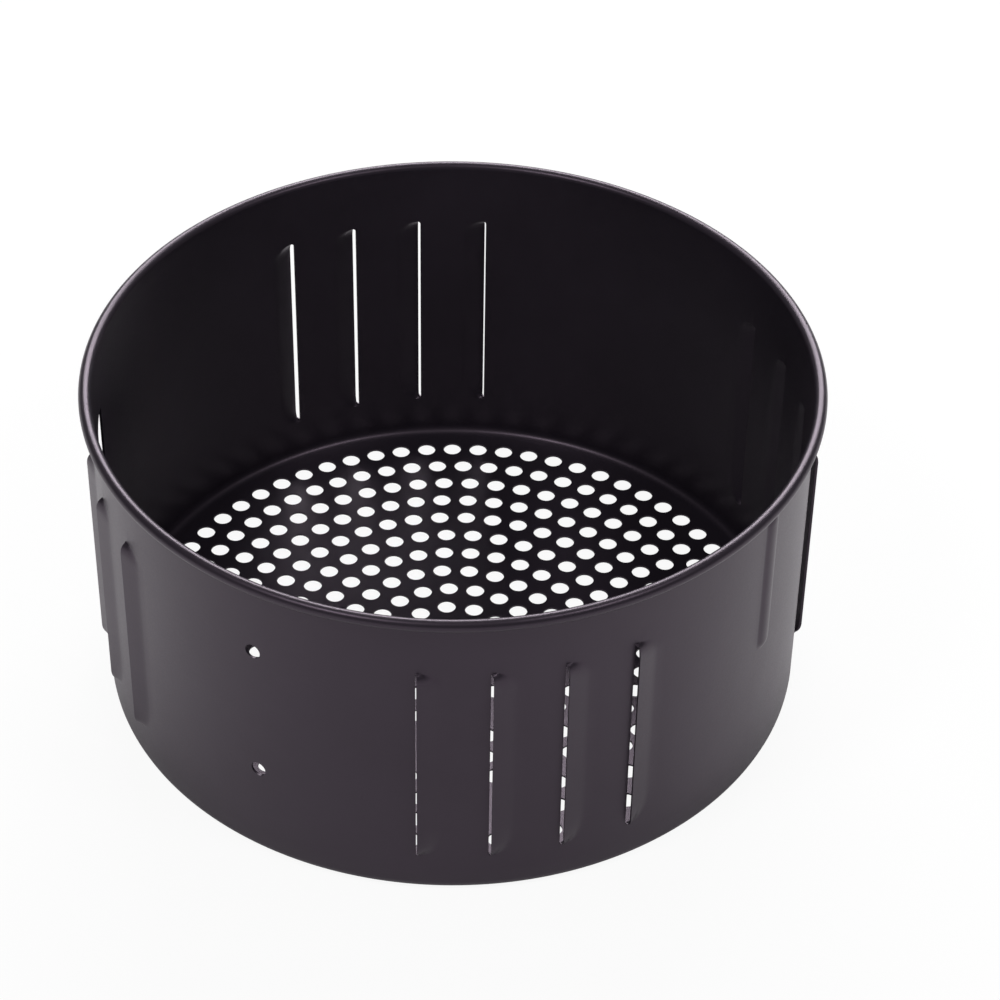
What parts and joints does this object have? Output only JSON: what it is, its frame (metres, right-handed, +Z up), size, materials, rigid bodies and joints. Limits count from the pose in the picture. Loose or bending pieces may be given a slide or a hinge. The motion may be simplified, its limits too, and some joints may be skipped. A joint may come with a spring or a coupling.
{
  "type": "air fryer basket",
  "caption": "Round coated steel basket with a perforated floor, louvred wall, curled rim and screw holes for a handle.",
  "frame": {"origin": "centre of the footprint, on the surface the basket stands on", "axes": "+Z up out of the open mouth, -Y towards the handle screw holes, +X towards the upright rib"},
  "size_m": [0.19, 0.19, 0.093],
  "materials": {
    "coating": "semi-matt dark non-stick coating on sheet steel"
  },
  "bodies": {
    "root": {"basket": "coating"}
  },
  "joints": []
}
